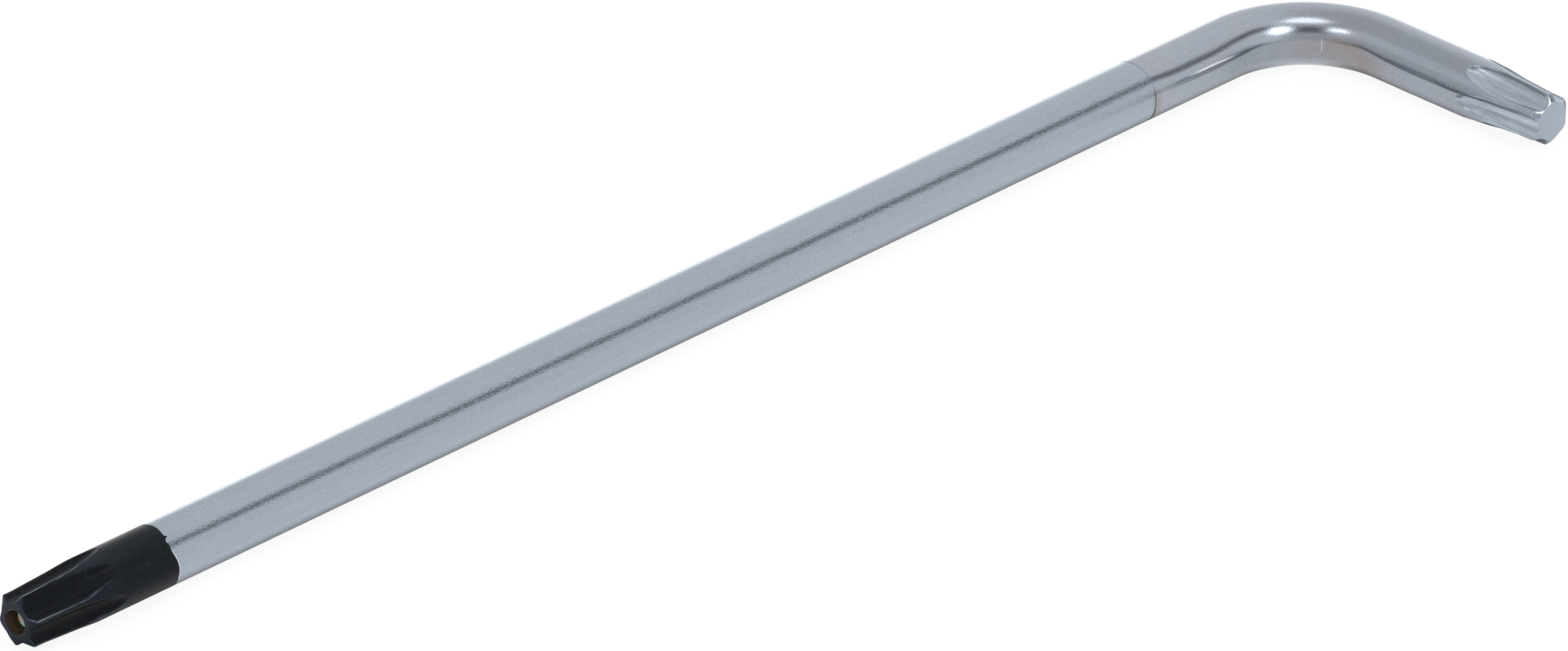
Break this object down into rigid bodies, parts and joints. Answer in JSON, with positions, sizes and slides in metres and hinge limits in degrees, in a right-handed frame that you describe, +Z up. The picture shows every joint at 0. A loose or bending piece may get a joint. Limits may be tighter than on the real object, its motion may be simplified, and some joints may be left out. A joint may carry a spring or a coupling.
{
  "type": "star key",
  "caption": "L-shaped star key: a bent round steel bar with a star milled into each end, the long end coated black and bored for a screw's centre pin, with a magnet in the bore.",
  "frame": {"origin": "centre of the footprint of the key as it lies flat, at the surface it lies on", "axes": "+X along the long arm from its black tip to the bend, -Y along the short arm to its tip, +Z up from the surface"},
  "size_m": [0.222, 0.0462, 0.008],
  "materials": {
    "plated_steel": "satin plating with a fine grain",
    "black_coat": "semi-gloss black",
    "magnet_nickel": "bright nickel plate",
    "adhesive": "matt, brown"
  },
  "bodies": {
    "root": {"key_bar": "plated_steel", "tip_coat": "black_coat", "tip_magnet": "magnet_nickel", "magnet_adhesive": "adhesive"}
  },
  "joints": []
}
